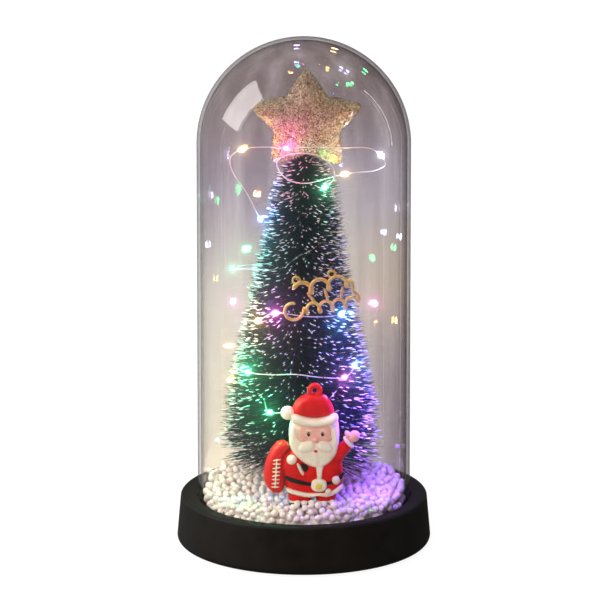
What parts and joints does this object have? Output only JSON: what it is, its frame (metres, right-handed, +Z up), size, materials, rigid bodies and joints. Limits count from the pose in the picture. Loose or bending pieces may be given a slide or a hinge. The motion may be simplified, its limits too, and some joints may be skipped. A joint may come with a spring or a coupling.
{
  "type": "lit tabletop tree under a dome",
  "caption": "Bottle-brush tree with star, fairy lights and a small winter figure, standing on foam beads under a clear lift-off dome on a round battery base.",
  "frame": {"origin": "on the surface the object stands on, at the middle of the round base", "axes": "+Z up, the front with the figure faces -Y, +X to the right seen from the front"},
  "size_m": [0.11, 0.11, 0.224],
  "materials": {
    "black_plastic": "fine matt moulded",
    "black_rubber": "matt",
    "clear_glass": "clear polished",
    "white_foam": "expanded foam beads",
    "green_bristle": "fine bristles with white tips",
    "twisted_wire": "twisted, green lacquer",
    "brown_plastic": "moulded",
    "gold_glitter": "coated in gold glitter",
    "gilt_plastic": "gold metallised",
    "silver_wire": "bare bright wire",
    "light_warm": "clear drop, warm light",
    "light_pink": "clear drop, pink light",
    "light_green": "clear drop, green light",
    "light_blue": "clear drop, blue light",
    "light_white": "clear drop, white light",
    "red_vinyl": "soft vinyl, satin",
    "cream_vinyl": "soft vinyl, satin",
    "pink_vinyl": "soft vinyl, satin",
    "black_vinyl": "soft vinyl, satin",
    "zinc_plate": "zinc plated",
    "cell_sleeve": "printed sleeve, plain",
    "board_green": "solder mask",
    "red_cable": "insulation",
    "black_cable": "insulation"
  },
  "bodies": {
    "base": {"base_shell": "black_plastic", "battery_1": "cell_sleeve", "battery_2": "cell_sleeve", "battery_3": "cell_sleeve", "bead_bed": "white_foam", "bottom_plate": "black_plastic", "circuit_board": "board_green", "contact_plate_link_left": "zinc_plate", "contact_plate_link_right": "zinc_plate", "contact_plate_negative": "zinc_plate", "contact_plate_positive": "zinc_plate", "contact_spring_1": "zinc_plate", "contact_spring_2": "zinc_plate", "contact_spring_3": "zinc_plate", "figure_beard": "cream_vinyl", "figure_belt": "black_vinyl", "figure_buckle": "cream_vinyl", "figure_coat": "red_vinyl", "figure_coat_hem": "cream_vinyl", "figure_face": "pink_vinyl", "figure_hat": "red_vinyl", "figure_hat_brim": "cream_vinyl", "figure_head": "cream_vinyl", "figure_legs": "red_vinyl", "figure_mitten": "pink_vinyl", "figure_pompom": "cream_vinyl", "figure_sack": "red_vinyl", "gilt_scroll": "gilt_plastic", "lead_black": "black_cable", "lead_red": "red_cable", "led_01_warm": "light_warm", "led_02_green": "light_green", "led_03_green": "light_green", "led_04_pink": "light_pink", "led_05_blue": "light_blue", "led_06_warm": "light_warm", "led_07_pink": "light_pink", "led_08_blue": "light_blue", "led_09_blue": "light_blue", "led_10_warm": "light_warm", "led_11_pink": "light_pink", "led_12_white": "light_white", "led_13_warm": "light_warm", "led_14_green": "light_green", "light_wire": "silver_wire", "rubber_foot_1": "black_rubber", "rubber_foot_2": "black_rubber", "rubber_foot_3": "black_rubber", "rubber_foot_4": "black_rubber", "screw_1": "zinc_plate", "screw_2": "zinc_plate", "screw_3": "zinc_plate", "star_topper": "gold_glitter", "switch_body": "zinc_plate", "tree_brush": "green_bristle", "tree_foot": "brown_plastic", "tree_stem": "twisted_wire"},
    "dome": {"glass_dome": "clear_glass"},
    "slider": {"switch_slider": "black_plastic"},
    "door": {"battery_door": "black_plastic"}
  },
  "joints": [
    {"name": "dome_lift", "type": "slide", "parent": "base", "child": "dome", "axis": [0, 0, 1], "range_m": [0, 0.21]},
    {"name": "switch_slide", "type": "slide", "parent": "base", "child": "slider", "axis": [1, 0, 0], "range_m": [0, 0.002]},
    {"name": "door_swing", "type": "hinge", "parent": "base", "child": "door", "pos_m": [0.02545, 0.002, 0.0016], "axis": [0, -1, 0], "range_deg": [0, 85]}
  ]
}
